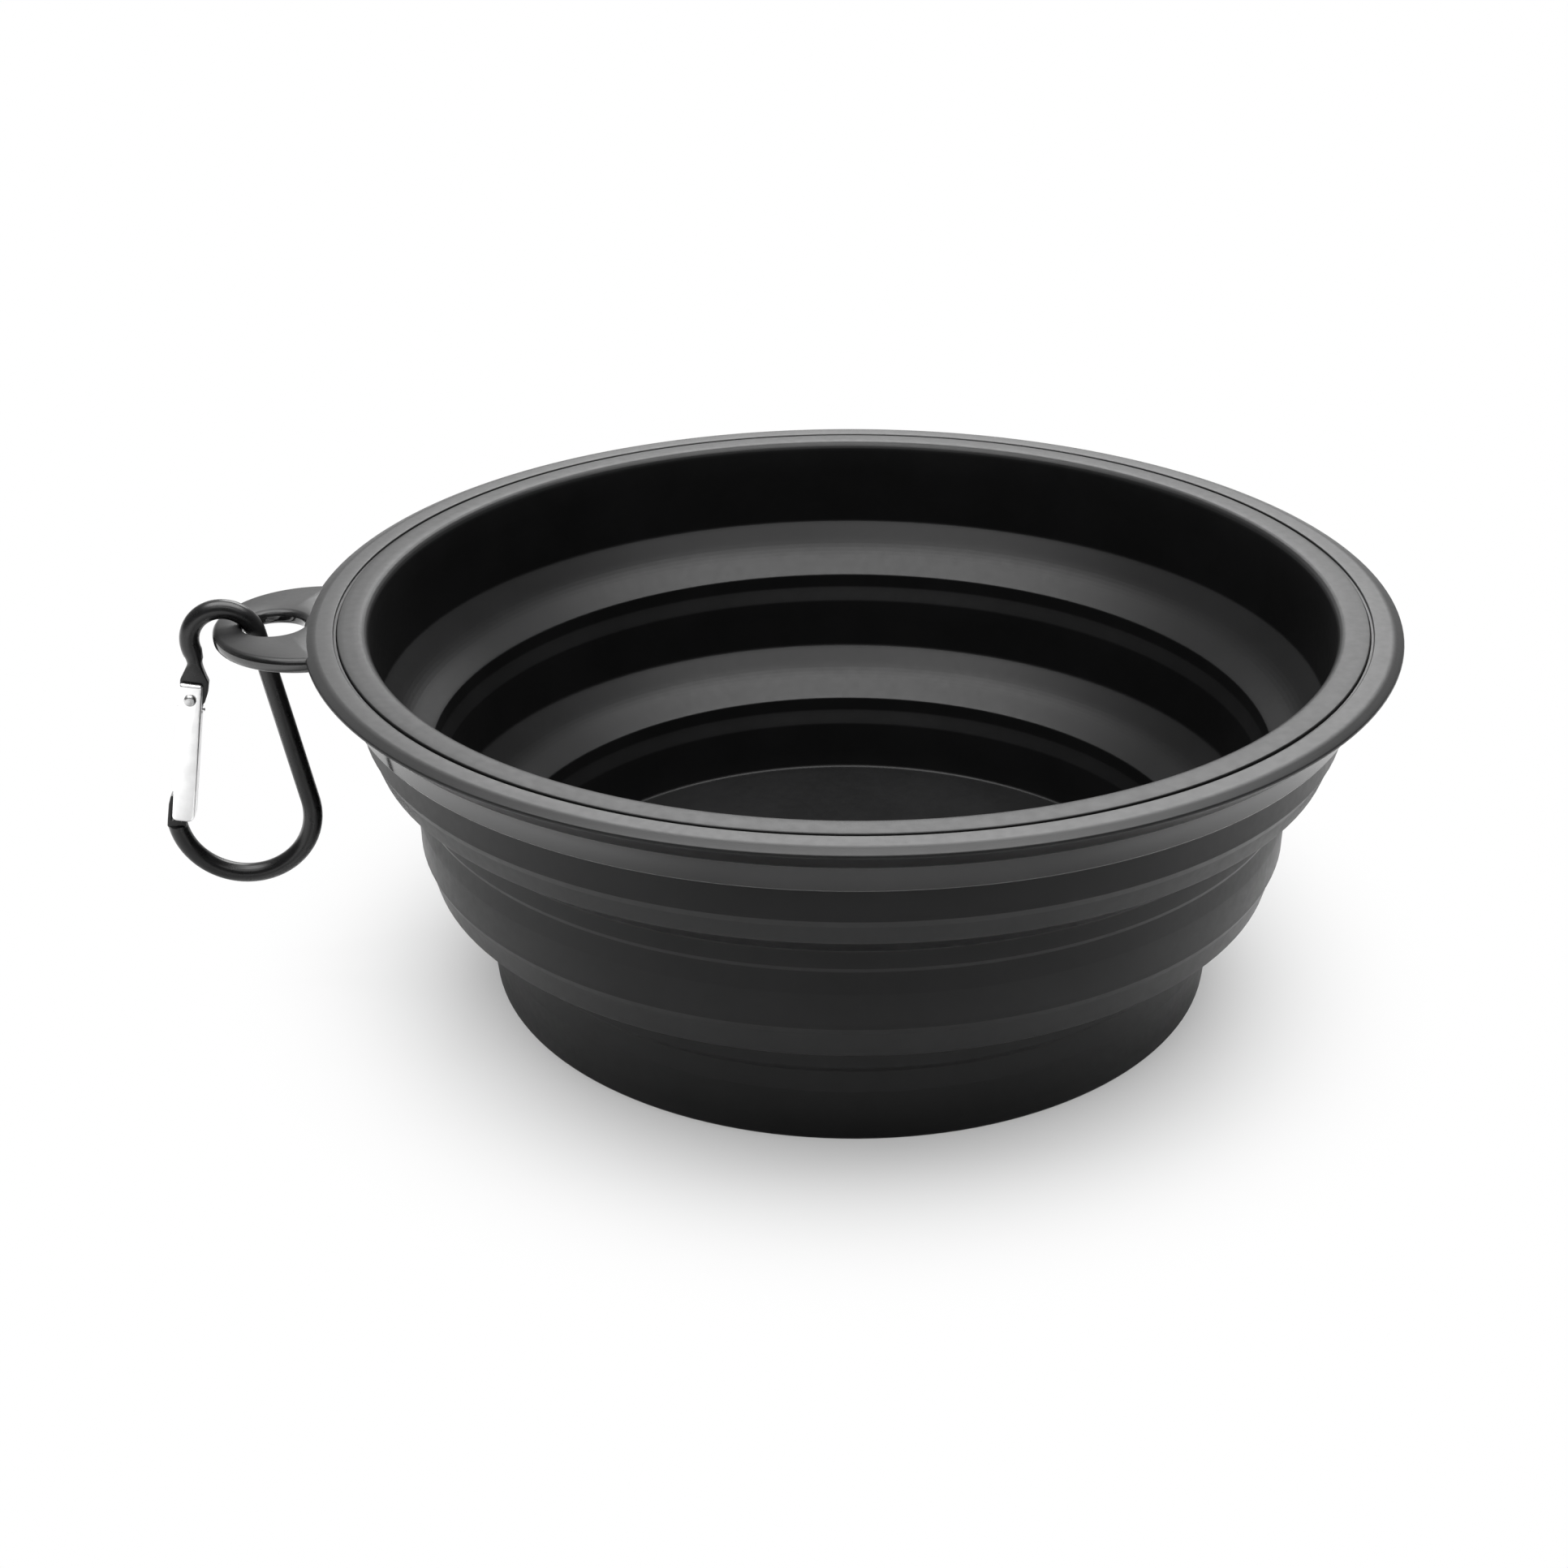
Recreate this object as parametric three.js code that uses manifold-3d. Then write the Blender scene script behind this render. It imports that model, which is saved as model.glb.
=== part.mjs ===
// Collapsible pet bowl: a soft bowl with two folds on a rigid rim ring, and a clip on the ring's hang tab.
// Millimetres, +Z up. The origin is the centre of the bowl's underside. The hang tab points along -X.
import * as THREE from 'three';
import { mergeVertices } from 'three/addons/utils/BufferGeometryUtils.js';
import Module from 'manifold-3d';

const wasm = await Module();
wasm.setup();

// Soft bowl: radii are of the inside wall, heights are between the ends of the folds' slopes.
const MOUTH_RADIUS = 79.3;
const UPPER_STEP = 9.5;
const LOWER_STEP = 10.3;
const UPPER_HEIGHT = 16;
const MIDDLE_HEIGHT = 14.5;
const BASE_HEIGHT = 19.5;
const UPPER_WALL = 2.4;
const MIDDLE_WALL = 3.9;
const BASE_WALL = 3.6;
const BASE_TAPER = 1;
const FLOOR = 5;
const FLOOR_FILLET = 1;
const FOOT_ROUND = 1.2;
const WALL_DRAFT = 0.2;

// Folds: a slightly hollow slope from the wall above to a thin hinge on the wall below, and a skirt outside.
const UPPER_DROP = 8.2;
const LOWER_DROP = 7.5;
const FOLD_LANDING = 1.1;
const FOLD_SAG = 0.6;
const HINGE = 1.7;
const HINGE_DROP = 0.7;
const SKIRT_RISE = 0.6;
const UPPER_SKIRT = 3.9;
const LOWER_SKIRT = 5;
const SKIRT_DRAFT = 1.7;
const NECK_HEIGHT = 2.5;
const NECK_SLOPE = 2.6;
const UPPER_LEDGE = 3.3;
const LOWER_LEDGE = 5.3;
const LEDGE_SLOPE = 4;
const HINGE_BEND = 0.3;
const SOFT_EDGE = 0.5;

// Rim: the soft lip lies over the ring's collar, with a groove between the lip and the ring's flange.
const LIP_WIDTH = 4.9;
const LIP_ROUND = 0.9;
const GROOVE = 1;
const GROOVE_DEPTH = 1.4;
const RIM_WIDTH = 4.8;
const RIM_THICKNESS = 2.4;
const RIM_ROUND = 0.5;
const RIM_UNDERCUT = 1.5;
const COLLAR_WALL = 2;
const COLLAR_DEPTH = 9.4;
const COLLAR_FILLET = 0.8;

// Hang tab: a disc that grows out of the flange, with a round hole and an outer bar for the clip.
const TAB_REACH = 14.7;
const TAB_RADIUS = 16;
const TAB_THICKNESS = 2.4;
const TAB_DROP = 0.4;
const TAB_EDGE = 0.9;
const BAR_WIDTH = 4.4;
const HOLE_DIAMETER = 10.6;

// Clip: a pear-shaped rod with a small hook over the bar, a straight spine and a wide bow.
const ROD = 3.25;
const HOOK_OFFSET = 0.6;
const HOOK_DEPTH = 1.9;
const HOOK_END_ANGLE = -20;
const CLIP_SPAN = 31.8;
const BOW_RADIUS = 11.4;
const NOSE_ANGLE = -8;
const NOSE_OFFSET = 1;
const NOSE_FLAT = 1.3;
const NOSE_THICKNESS = 2;
const NOSE_LIP = 0.8;
const NOSE_LIP_LENGTH = 4.6;

// Gate and the tongue that it turns on.
const TONGUE_LENGTH = 7.9;
const TONGUE_TILT = 8.2;
const TONGUE_THICKNESS = 1.6;
const TONGUE_ROOT = 2.6;
const TONGUE_NECK = 2.3;
const NECK_SHIFT = 0.3;
const TONGUE_SHOULDER = 0.8;
const TONGUE_END = 1.9;
const TONGUE_END_WIDTH = 2.8;
const GATE_WIDTH = 3.8;
const GATE_CHEEK = 0.7;
const GATE_TOP = 2.7;
const GATE_EDGE = 0.8;
const SLOT_DEPTH = 2.9;
const RIVET_DIAMETER = 1.5;
const RIVET_HEAD = 2.4;
const RIVET_DOME = 0.5;
const PLUNGER_DIAMETER = 1.3;
const PLUNGER_LENGTH = 3.2;
const SPRING_WIRE = 0.3;
const SPRING_LENGTH = 5.4;
const SPRING_TURNS = 7;

// Clearances: between touching pieces, and round the pivots and the plunger.
const SEAM = 0.3;
const PIVOT_PLAY = 0.2;

// Facets
const BOWL_SEGMENTS = 60;
const ROD_SIDES = 10;
const ROD_STEPS = 44;
const HOLE_SEGMENTS = 20;
const PIN_SEGMENTS = 12;
const BEVEL_STEPS = 2;
const ARC_STEPS = 3;
const COIL_STEPS = 8;
const COIL_SIDES = 5;

// Levels and radii worked out from the driving sizes
const middleRadius = MOUTH_RADIUS - UPPER_STEP;
const baseRadius = middleRadius - LOWER_STEP;
const lowerFoot = BASE_HEIGHT;
const lowerTop = lowerFoot + LOWER_DROP;
const upperFoot = lowerTop + MIDDLE_HEIGHT;
const upperTop = upperFoot + UPPER_DROP;
const rimTop = upperTop + UPPER_HEIGHT;
const grooveFloor = rimTop - GROOVE_DEPTH;
const collarBottom = rimTop - COLLAR_DEPTH;
const upperOuter = MOUTH_RADIUS + UPPER_WALL;
const lipOuter = MOUTH_RADIUS + LIP_WIDTH;
const flangeInner = lipOuter + GROOVE;
const rimRadius = flangeInner + RIM_WIDTH;
const collarInner = upperOuter + SEAM;
const collarOuter = collarInner + COLLAR_WALL;

function point(x, y) {
  return new THREE.Vector2(x, y);
}

function radians(degrees) {
  return THREE.MathUtils.degToRad(degrees);
}

function polar(centre, radius, degrees) {
  const angle = radians(degrees);
  return point(centre.x + radius * Math.cos(angle), centre.y + radius * Math.sin(angle));
}

function corner(centre, radius, from, to) {
  const points = [];
  for (let step = 0; step <= ARC_STEPS; step += 1) {
    points.push(polar(centre, radius, from + (to - from) * step / ARC_STEPS));
  }
  return points;
}

// A ring or cup turned about Z from a profile of radius and height, counter-clockwise.
function revolve(profile, segments = BOWL_SEGMENTS) {
  const geometry = new THREE.LatheGeometry(profile, segments);
  geometry.rotateX(Math.PI / 2);
  return geometry;
}

function ring(profile) {
  return revolve([...profile, profile[0]]);
}

function solidOf(geometry) {
  const bare = geometry.clone();
  bare.deleteAttribute('normal');
  bare.deleteAttribute('uv');
  const merged = mergeVertices(bare);
  const corners = merged.index.array;
  const faces = [];
  for (let i = 0; i < corners.length; i += 3) {
    const [a, b, c] = [corners[i], corners[i + 1], corners[i + 2]];
    if (a !== b && b !== c && c !== a) {
      faces.push(a, b, c);
    }
  }
  const mesh = new wasm.Mesh({
    numProp: 3,
    vertProperties: new Float32Array(merged.attributes.position.array),
    triVerts: new Uint32Array(faces),
  });
  return new wasm.Manifold(mesh);
}

function geometryOf(solid) {
  const mesh = solid.getMesh();
  const geometry = new THREE.BufferGeometry();
  geometry.setAttribute('position', new THREE.BufferAttribute(new Float32Array(mesh.vertProperties), 3));
  geometry.setIndex(new THREE.BufferAttribute(new Uint32Array(mesh.triVerts), 1));
  geometry.computeVertexNormals();
  return geometry;
}

// A flat plate of an outline in the XY plane, centred on z = 0, with rounded edges where edge is given.
function plate(shape, thickness, edge = 0) {
  const geometry = new THREE.ExtrudeGeometry(shape, {
    depth: thickness - 2 * edge,
    bevelEnabled: edge > 0,
    bevelSize: edge,
    bevelThickness: edge,
    bevelOffset: -edge,
    bevelSegments: BEVEL_STEPS,
    curveSegments: HOLE_SEGMENTS,
  });
  geometry.translate(0, 0, edge - thickness / 2);
  return geometry;
}

// A round pin or cutter along Z.
function pinAlongZ(diameter, length) {
  const pin = new THREE.CylinderGeometry(diameter / 2, diameter / 2, length, PIN_SEGMENTS);
  return pin.rotateX(Math.PI / 2);
}

// A round pin or cutter along Y, from its top downwards.
function pinAlongY(diameter, top, length) {
  const pin = new THREE.CylinderGeometry(diameter / 2, diameter / 2, length, PIN_SEGMENTS);
  return pin.translate(0, top - length / 2, 0);
}

function finish(color, roughness, metalness) {
  return new THREE.MeshStandardMaterial({ color, roughness, metalness });
}

function piece(name, geometry, material) {
  const mesh = new THREE.Mesh(geometry, material);
  mesh.name = name;
  return mesh;
}

const softBlack = () => finish(0x26262a, 0.55, 0);
const rimBlack = () => finish(0x2e2e32, 0.42, 0);
const clipBlack = () => finish(0x151517, 0.35, 0.4);
const brightMetal = () => finish(0xd9dadc, 0.3, 0.9);

// Soft bowl

// The lip, and the wall down to the cut above the upper fold.
function upperWallProfile() {
  const cut = upperTop + SKIRT_RISE + SEAM / 2;
  const round = Math.min(LIP_ROUND, LIP_WIDTH / 2);
  return [
    point(MOUTH_RADIUS, cut),
    point(upperOuter - WALL_DRAFT, cut),
    point(upperOuter, collarBottom),
    point(upperOuter, grooveFloor + SEAM),
    point(lipOuter, grooveFloor + SEAM),
    point(lipOuter, rimTop - SOFT_EDGE),
    point(lipOuter - SOFT_EDGE, rimTop),
    ...corner(point(MOUTH_RADIUS + round, rimTop - round), round, 90, 180),
  ];
}

// The outside of a wall's top below a fold: the recessed hinge, then the ledge where the thick wall starts.
function wallTopOutside(radius, wall, foot, ledge) {
  return [
    point(radius + wall, foot - ledge - SOFT_EDGE - LEDGE_SLOPE),
    point(radius + wall - WALL_DRAFT, foot - ledge - SOFT_EDGE),
    point(radius + wall - WALL_DRAFT - SOFT_EDGE, foot - ledge),
    point(radius + FOLD_LANDING + HINGE, foot - ledge + SOFT_EDGE),
    point(radius + FOLD_LANDING + HINGE, foot - HINGE_DROP - SEAM / 2),
  ];
}

// The inside of a wall's top below a fold: the hinge's upright neck, then a slope in to the thick wall.
function wallTopInside(radius, foot) {
  return [
    point(radius + FOLD_LANDING, foot - HINGE_DROP - SEAM / 2),
    point(radius + FOLD_LANDING, foot - NECK_HEIGHT),
    point(radius, foot - NECK_HEIGHT - NECK_SLOPE),
  ];
}

function middleWallProfile() {
  const cut = lowerTop + SKIRT_RISE + SEAM / 2;
  return [
    point(middleRadius, cut),
    point(middleRadius + MIDDLE_WALL - WALL_DRAFT, cut),
    ...wallTopOutside(middleRadius, MIDDLE_WALL, upperFoot, UPPER_LEDGE),
    ...wallTopInside(middleRadius, upperFoot),
  ];
}

function baseCupProfile() {
  const outer = baseRadius + BASE_WALL;
  const round = Math.min(FOOT_ROUND, BASE_WALL);
  const fillet = point(baseRadius - FLOOR_FILLET, FLOOR + FLOOR_FILLET);
  return [
    point(0, 0),
    ...corner(point(outer - BASE_TAPER - round, round), round, -90, 0),
    ...wallTopOutside(baseRadius, BASE_WALL, lowerFoot, LOWER_LEDGE),
    ...wallTopInside(baseRadius, lowerFoot),
    ...corner(fillet, FLOOR_FILLET, 0, -90),
    point(0, FLOOR),
  ];
}

// A fold from the wall above, whose inner radius is above, to the hinge on the wall below.
function foldProfile(above, wall, top, skirt, below, foot) {
  const landing = below + FOLD_LANDING;
  const skirtTop = top + SKIRT_RISE - SEAM / 2;
  const hingeCut = foot - HINGE_DROP + SEAM / 2;
  const outer = above + wall - WALL_DRAFT;
  return [
    point(landing, hingeCut),
    point(landing + HINGE, hingeCut),
    point(landing + HINGE, foot - HINGE_BEND),
    point(outer - SKIRT_DRAFT - SOFT_EDGE, top - skirt),
    point(outer - SKIRT_DRAFT, top - skirt + SOFT_EDGE),
    point(outer, skirtTop),
    point(above, skirtTop),
    point(above, top),
    point((above + landing) / 2 + FOLD_SAG, (top + foot) / 2 - FOLD_SAG),
    point(landing, foot),
  ];
}

function upperFold() {
  return ring(foldProfile(MOUTH_RADIUS, UPPER_WALL, upperTop, UPPER_SKIRT, middleRadius, upperFoot));
}

function lowerFold() {
  return ring(foldProfile(middleRadius, MIDDLE_WALL, lowerTop, LOWER_SKIRT, baseRadius, lowerFoot));
}

// Rim ring with its hang tab

const tabEnd = rimRadius + TAB_REACH;
const tabCentre = tabEnd - TAB_RADIUS;
const holeCentre = tabEnd - BAR_WIDTH - HOLE_DIAMETER / 2;
const barCentre = tabEnd - BAR_WIDTH / 2;
const tabLevel = rimTop - TAB_DROP - TAB_THICKNESS / 2;
const tabEdge = Math.min(TAB_EDGE, TAB_THICKNESS / 2 - SEAM);

function ringProfile() {
  const under = rimTop - RIM_THICKNESS;
  const round = Math.min(RIM_ROUND, RIM_THICKNESS / 2 - SEAM);
  const undercut = Math.min(RIM_UNDERCUT, RIM_THICKNESS - round - SEAM);
  return [
    point(collarInner, collarBottom),
    point(collarOuter - WALL_DRAFT, collarBottom),
    point(collarOuter, under - COLLAR_FILLET),
    point(collarOuter + COLLAR_FILLET, under),
    point(rimRadius - undercut, under),
    point(rimRadius, under + undercut),
    ...corner(point(rimRadius - round, rimTop - round), round, 0, 90),
    point(flangeInner + SOFT_EDGE, rimTop),
    point(flangeInner, rimTop - SOFT_EDGE),
    point(flangeInner, grooveFloor),
    point(collarInner, grooveFloor),
  ];
}

function hangTab() {
  const shape = new THREE.Shape();
  shape.absarc(-tabCentre, 0, TAB_RADIUS, 0, 2 * Math.PI);
  const hole = new THREE.Path();
  hole.absarc(-holeCentre, 0, HOLE_DIAMETER / 2, 0, 2 * Math.PI, true);
  shape.holes.push(hole);
  const disc = plate(shape, TAB_THICKNESS, tabEdge).translate(0, 0, tabLevel);
  const inside = revolve([
    point(0, 0),
    point(rimRadius - RIM_WIDTH / 2, 0),
    point(rimRadius - RIM_WIDTH / 2, rimTop),
    point(0, rimTop),
  ]);
  return solidOf(disc).subtract(solidOf(inside));
}

function rimRing() {
  return geometryOf(solidOf(ring(ringProfile())).add(hangTab()));
}

// Clip, in its own plane: x points away from the bowl, y up, with the hang tab's bar at the origin.

const tongueUp = point(-Math.sin(radians(TONGUE_TILT)), Math.cos(radians(TONGUE_TILT)));
const barCorner = point(tabEdge - BAR_WIDTH / 2, TAB_THICKNESS / 2 - tabEdge);
const hookCentre = point(HOOK_OFFSET, barCorner.y - HOOK_DEPTH);
const hookRadius = hookCentre.distanceTo(barCorner) + tabEdge + SEAM + ROD / 2;
const hookEnd = polar(hookCentre, hookRadius, HOOK_END_ANGLE);
const rivetPlace = hookEnd.clone().addScaledVector(tongueUp, -TONGUE_LENGTH);
const bowCentre = point(hookCentre.x, hookCentre.y - CLIP_SPAN);
const noseEnd = polar(bowCentre, BOW_RADIUS, NOSE_ANGLE);
const gateLine = point(noseEnd.x - NOSE_OFFSET, noseEnd.y).sub(rivetPlace);
const gateTilt = Math.atan2(gateLine.x, -gateLine.y);
const gateLength = gateLine.length() - NOSE_FLAT;
const slotWidth = TONGUE_THICKNESS + 2 * SEAM;
const gateDepth = slotWidth + 2 * GATE_CHEEK;
const boreDiameter = PLUNGER_DIAMETER + 2 * PIVOT_PLAY;
const plungerTop = -TONGUE_END - SEAM;
const springTop = plungerTop - PLUNGER_LENGTH - SEAM;
const boreEnd = springTop - SPRING_LENGTH - SEAM;

// The gate's own frame has the rivet at its origin and y along the gate.
// This places a point of that frame in the clip's plane.
function fromGate(x, y) {
  return point(x, y).rotateAround(point(0, 0), gateTilt).add(rivetPlace);
}

// The rod's centre line: hook, spine along the common tangent, and bow.
function rodPath() {
  const lean = THREE.MathUtils.radToDeg(Math.asin((BOW_RADIUS - hookRadius) / CLIP_SPAN));
  const path = new THREE.Path();
  path.absarc(hookCentre.x, hookCentre.y, hookRadius, radians(HOOK_END_ANGLE), radians(180 - lean));
  path.absarc(bowCentre.x, bowCentre.y, BOW_RADIUS, radians(180 - lean), radians(360 + NOSE_ANGLE));
  const points = path.getSpacedPoints(ROD_STEPS).map((p) => new THREE.Vector3(p.x, p.y, 0));
  return new THREE.CatmullRomCurve3(points);
}

function rod() {
  const section = new THREE.Shape();
  section.absarc(0, 0, ROD / 2, 0, 2 * Math.PI);
  return new THREE.ExtrudeGeometry(section, {
    steps: ROD_STEPS,
    curveSegments: ROD_SIDES,
    extrudePath: rodPath(),
  });
}

// The flattened hinge end: a neck below the hook, shoulders past the gate and a flat end for the plunger.
function tongue() {
  const half = GATE_WIDTH / 2;
  const inner = -half - TONGUE_SHOULDER;
  const neckLevel = TONGUE_LENGTH - ROD / 2;
  const shape = new THREE.Shape([
    fromGate(TONGUE_ROOT / 2, TONGUE_LENGTH + ROD / 2),
    fromGate(-TONGUE_ROOT / 2, TONGUE_LENGTH + ROD / 2),
    fromGate(-TONGUE_NECK / 2 - NECK_SHIFT, neckLevel),
    fromGate(inner, GATE_TOP + SEAM),
    fromGate(inner, TONGUE_END / 2),
    fromGate(-TONGUE_END_WIDTH / 2, -TONGUE_END),
    fromGate(TONGUE_END_WIDTH / 2, -TONGUE_END),
    fromGate(half, 0),
    fromGate(half, GATE_TOP + SEAM),
    fromGate(TONGUE_NECK / 2 - NECK_SHIFT, neckLevel),
  ]);
  return plate(shape, TONGUE_THICKNESS);
}

// The flattened nose: a foot under the gate's end and a thin lip that stops the gate on its outer side.
function nose() {
  const face = GATE_WIDTH / 2 + SEAM;
  const end = -gateLength - SEAM;
  const shape = new THREE.Shape([
    fromGate(NOSE_OFFSET - TONGUE_ROOT / 2, end - NOSE_FLAT - ROD / 2),
    fromGate(face + NOSE_LIP, end - NOSE_FLAT / 2),
    fromGate(face + NOSE_LIP, end + NOSE_LIP),
    fromGate(face + NOSE_LIP / 2, end + NOSE_LIP_LENGTH),
    fromGate(face, end + NOSE_LIP_LENGTH),
    fromGate(face, end),
    fromGate(NOSE_OFFSET - ROD / 2, end),
  ]);
  return plate(shape, NOSE_THICKNESS);
}

function clipFrame() {
  const rivetHole = pinAlongZ(RIVET_DIAMETER + 2 * PIVOT_PLAY, ROD);
  rivetHole.translate(rivetPlace.x, rivetPlace.y, 0);
  const body = solidOf(rod()).add(solidOf(tongue())).add(solidOf(nose()));
  return geometryOf(body.subtract(solidOf(rivetHole)));
}

// The gate is a bar with a fork over the tongue, a rivet hole and a blind bore for the plunger and spring.
function clipGate() {
  const half = GATE_WIDTH / 2;
  const shape = new THREE.Shape();
  shape.moveTo(-half, -gateLength + half);
  shape.quadraticCurveTo(-half, -gateLength, 0, -gateLength);
  shape.lineTo(half - SOFT_EDGE, -gateLength);
  shape.lineTo(half, -gateLength + SOFT_EDGE);
  shape.lineTo(half, GATE_TOP);
  shape.lineTo(-half, GATE_TOP);
  const bar = plate(shape, gateDepth, Math.min(GATE_EDGE, gateDepth / 2 - SEAM));
  const forkHeight = GATE_TOP + SLOT_DEPTH + ROD;
  const slot = new THREE.BoxGeometry(2 * GATE_WIDTH, forkHeight, slotWidth);
  slot.translate(0, forkHeight / 2 - SLOT_DEPTH, 0);
  const bore = pinAlongY(boreDiameter, 0, -boreEnd);
  const rivetHole = pinAlongZ(RIVET_DIAMETER + 2 * PIVOT_PLAY, 2 * gateDepth);
  const cuts = solidOf(slot).add(solidOf(bore)).add(solidOf(rivetHole));
  return geometryOf(solidOf(bar).subtract(cuts));
}

// A rivet with a low dome at each end, turned about the pivot.
function gateRivet() {
  const shank = RIVET_DIAMETER / 2;
  const head = RIVET_HEAD / 2;
  const seat = gateDepth / 2 + SEAM / 2;
  const top = seat + RIVET_DOME;
  return revolve([
    point(0, -top),
    point(head / 2, -top + RIVET_DOME / 4),
    point(head, -seat),
    point(shank, -seat),
    point(shank, seat),
    point(head, seat),
    point(head / 2, top - RIVET_DOME / 4),
    point(0, top),
  ], PIN_SEGMENTS);
}

// A plain pin with a chamfered tip against the tongue.
function gatePlunger() {
  const radius = PLUNGER_DIAMETER / 2;
  const profile = [
    point(0, plungerTop - PLUNGER_LENGTH),
    point(radius, plungerTop - PLUNGER_LENGTH),
    point(radius, plungerTop - radius / 2),
    point(radius / 2, plungerTop),
    point(0, plungerTop),
  ];
  return new THREE.LatheGeometry(profile, PIN_SEGMENTS);
}

// An open compression spring of round wire behind the plunger.
class Coil extends THREE.Curve {
  getPoint(share) {
    const angle = 2 * Math.PI * SPRING_TURNS * share;
    const radius = (PLUNGER_DIAMETER - SPRING_WIRE) / 2;
    const travel = SPRING_LENGTH - SPRING_WIRE;
    const y = springTop - SPRING_WIRE / 2 - travel * share;
    return new THREE.Vector3(radius * Math.cos(angle), y, radius * Math.sin(angle));
  }
}

function gateSpring() {
  const wire = new THREE.Shape();
  wire.absarc(0, 0, SPRING_WIRE / 2, 0, 2 * Math.PI);
  return new THREE.ExtrudeGeometry(wire, {
    steps: COIL_STEPS * SPRING_TURNS,
    curveSegments: COIL_SIDES,
    extrudePath: new Coil(),
  });
}

// The spring's least gap to itself: the nearest points that are at least half a turn apart along the wire.
function springGap() {
  const points = new Coil().getPoints(COIL_STEPS * SPRING_TURNS);
  let least = Infinity;
  for (let i = 0; i < points.length; i += 1) {
    for (let j = i + COIL_STEPS / 2; j < points.length; j += 1) {
      least = Math.min(least, points[i].distanceTo(points[j]) - SPRING_WIRE);
    }
  }
  return least;
}

console.log(`gate spring: least gap to itself ${springGap().toFixed(2)} mm`);

// Assembly
const bowl = new THREE.Group();
bowl.add(piece('rim_ring', rimRing(), rimBlack()));
bowl.add(piece('upper_wall', ring(upperWallProfile()), softBlack()));
bowl.add(piece('upper_fold', upperFold(), softBlack()));
bowl.add(piece('middle_wall', ring(middleWallProfile()), softBlack()));
bowl.add(piece('lower_fold', lowerFold(), softBlack()));
bowl.add(piece('base_cup', revolve(baseCupProfile()), softBlack()));

const gate = new THREE.Group();
gate.position.set(rivetPlace.x, rivetPlace.y, 0);
gate.rotation.z = gateTilt;
gate.add(piece('clip_gate', clipGate(), brightMetal()));
gate.add(piece('gate_rivet', gateRivet(), brightMetal()));
gate.add(piece('gate_plunger', gatePlunger(), brightMetal()));
gate.add(piece('gate_spring', gateSpring(), brightMetal()));

const clipPlane = new THREE.Group();
clipPlane.rotation.x = Math.PI / 2;
clipPlane.add(piece('clip_frame', clipFrame(), clipBlack()));
clipPlane.add(gate);

const clip = new THREE.Group();
clip.position.set(-barCentre, 0, tabLevel);
clip.rotation.z = Math.PI;
clip.add(clipPlane);
bowl.add(clip);

export default bowl;
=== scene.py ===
import math

import bmesh
import bpy
from mathutils import Matrix, Vector


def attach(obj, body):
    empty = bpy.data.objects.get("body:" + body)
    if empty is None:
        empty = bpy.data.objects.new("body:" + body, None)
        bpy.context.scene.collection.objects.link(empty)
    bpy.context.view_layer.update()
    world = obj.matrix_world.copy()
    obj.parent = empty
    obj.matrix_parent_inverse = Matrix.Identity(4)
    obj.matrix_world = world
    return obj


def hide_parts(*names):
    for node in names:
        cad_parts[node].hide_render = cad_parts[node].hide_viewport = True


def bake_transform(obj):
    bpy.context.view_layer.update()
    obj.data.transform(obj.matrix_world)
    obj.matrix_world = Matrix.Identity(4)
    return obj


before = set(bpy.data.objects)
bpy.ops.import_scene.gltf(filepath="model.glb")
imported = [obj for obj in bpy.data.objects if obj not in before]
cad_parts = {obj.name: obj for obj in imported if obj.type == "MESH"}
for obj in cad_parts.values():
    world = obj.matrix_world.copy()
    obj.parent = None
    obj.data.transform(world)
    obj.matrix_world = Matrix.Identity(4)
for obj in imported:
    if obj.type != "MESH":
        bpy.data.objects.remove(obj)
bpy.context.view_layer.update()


# Soft bowl: one silicone moulding of three stepped walls with a thin fold between each two of them.
# Every wall and fold is turned about the bowl's axis from one profile.
# A profile is a list of radius, height and corner radius in millimetres.
MM = 0.001
RAIL_RADIUS, WELD, CREASE = 20.0, 0.002, math.radians(50)


def add(tree, kind, inputs=None, **settings):
    """Adds a node, and sets each input, by its label or number, to a value or to another node's socket."""
    node = tree.nodes.new(kind)
    for name, setting in settings.items():
        setattr(node, name, setting)
    for label, value in (inputs or {}).items():
        if isinstance(value, bpy.types.NodeSocket):
            tree.links.new(value, node.inputs[label])
        else:
            node.inputs[label].default_value = value
    return node


def new_shape_tree(name, inputs):
    """A Geometry Nodes tree with the named inputs, and the sockets that bring them in."""
    tree = bpy.data.node_groups.new(name, "GeometryNodeTree")
    for label, kind in inputs.items():
        tree.interface.new_socket(label, in_out="INPUT", socket_type="NodeSocket" + kind)
    tree.interface.new_socket("Shape", in_out="OUTPUT", socket_type="NodeSocketGeometry")
    return tree, tree.nodes.new("NodeGroupInput").outputs


def end_shape_tree(tree, shape, finish):
    """Ends a tree with a real mesh in its material."""
    real = add(tree, "GeometryNodeRealizeInstances", {0: shape})
    coloured = add(tree, "GeometryNodeSetMaterial", {"Geometry": real.outputs[0], "Material": finish})
    add(tree, "NodeGroupOutput", {"Shape": coloured.outputs[0]})


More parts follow.
